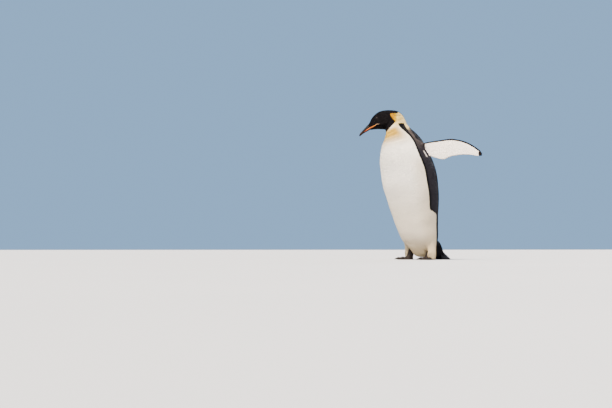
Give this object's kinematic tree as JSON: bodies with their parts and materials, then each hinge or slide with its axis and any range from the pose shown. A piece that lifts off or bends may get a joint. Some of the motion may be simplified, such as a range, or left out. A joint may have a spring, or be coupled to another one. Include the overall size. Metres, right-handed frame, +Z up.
{
  "type": "emperor penguin",
  "caption": "Life-size adult emperor penguin standing on the floor with its head bowed to its right and its flippers stretched out behind it, in a still pose.",
  "frame": {"origin": "centre of the bounding box's base, on the floor just behind the bird's toes", "axes": "+Z up, -Y the way the bird's body faces, +X towards the bird's left side"},
  "size_m": [0.6656, 0.6532, 0.9994],
  "materials": {
    "cream_feathers": "soft dense body feathers, off-white",
    "black_feathers": "short dense black feathers",
    "slate_feathers": "short scale-like slate-grey feathers",
    "bill_horn": "polished black-brown horn",
    "bill_plate": "smooth orange-pink horn plate",
    "eye": "wet, glossy dark brown",
    "foot_skin": "scaly black skin",
    "claw_horn": "dull dark horn"
  },
  "bodies": {
    "root": {"trunk": "cream_feathers", "neck": "cream_feathers", "head": "black_feathers", "bill_upper": "bill_horn", "bill_lower": "bill_plate", "eye_left": "eye", "eye_right": "eye", "flipper_left": "slate_feathers", "flipper_right": "slate_feathers", "tail": "black_feathers", "leg_left": "cream_feathers", "leg_right": "cream_feathers", "foot_left": "foot_skin", "foot_right": "foot_skin", "claw_left_inner": "claw_horn", "claw_left_middle": "claw_horn", "claw_left_outer": "claw_horn", "claw_right_inner": "claw_horn", "claw_right_middle": "claw_horn", "claw_right_outer": "claw_horn"}
  },
  "joints": []
}
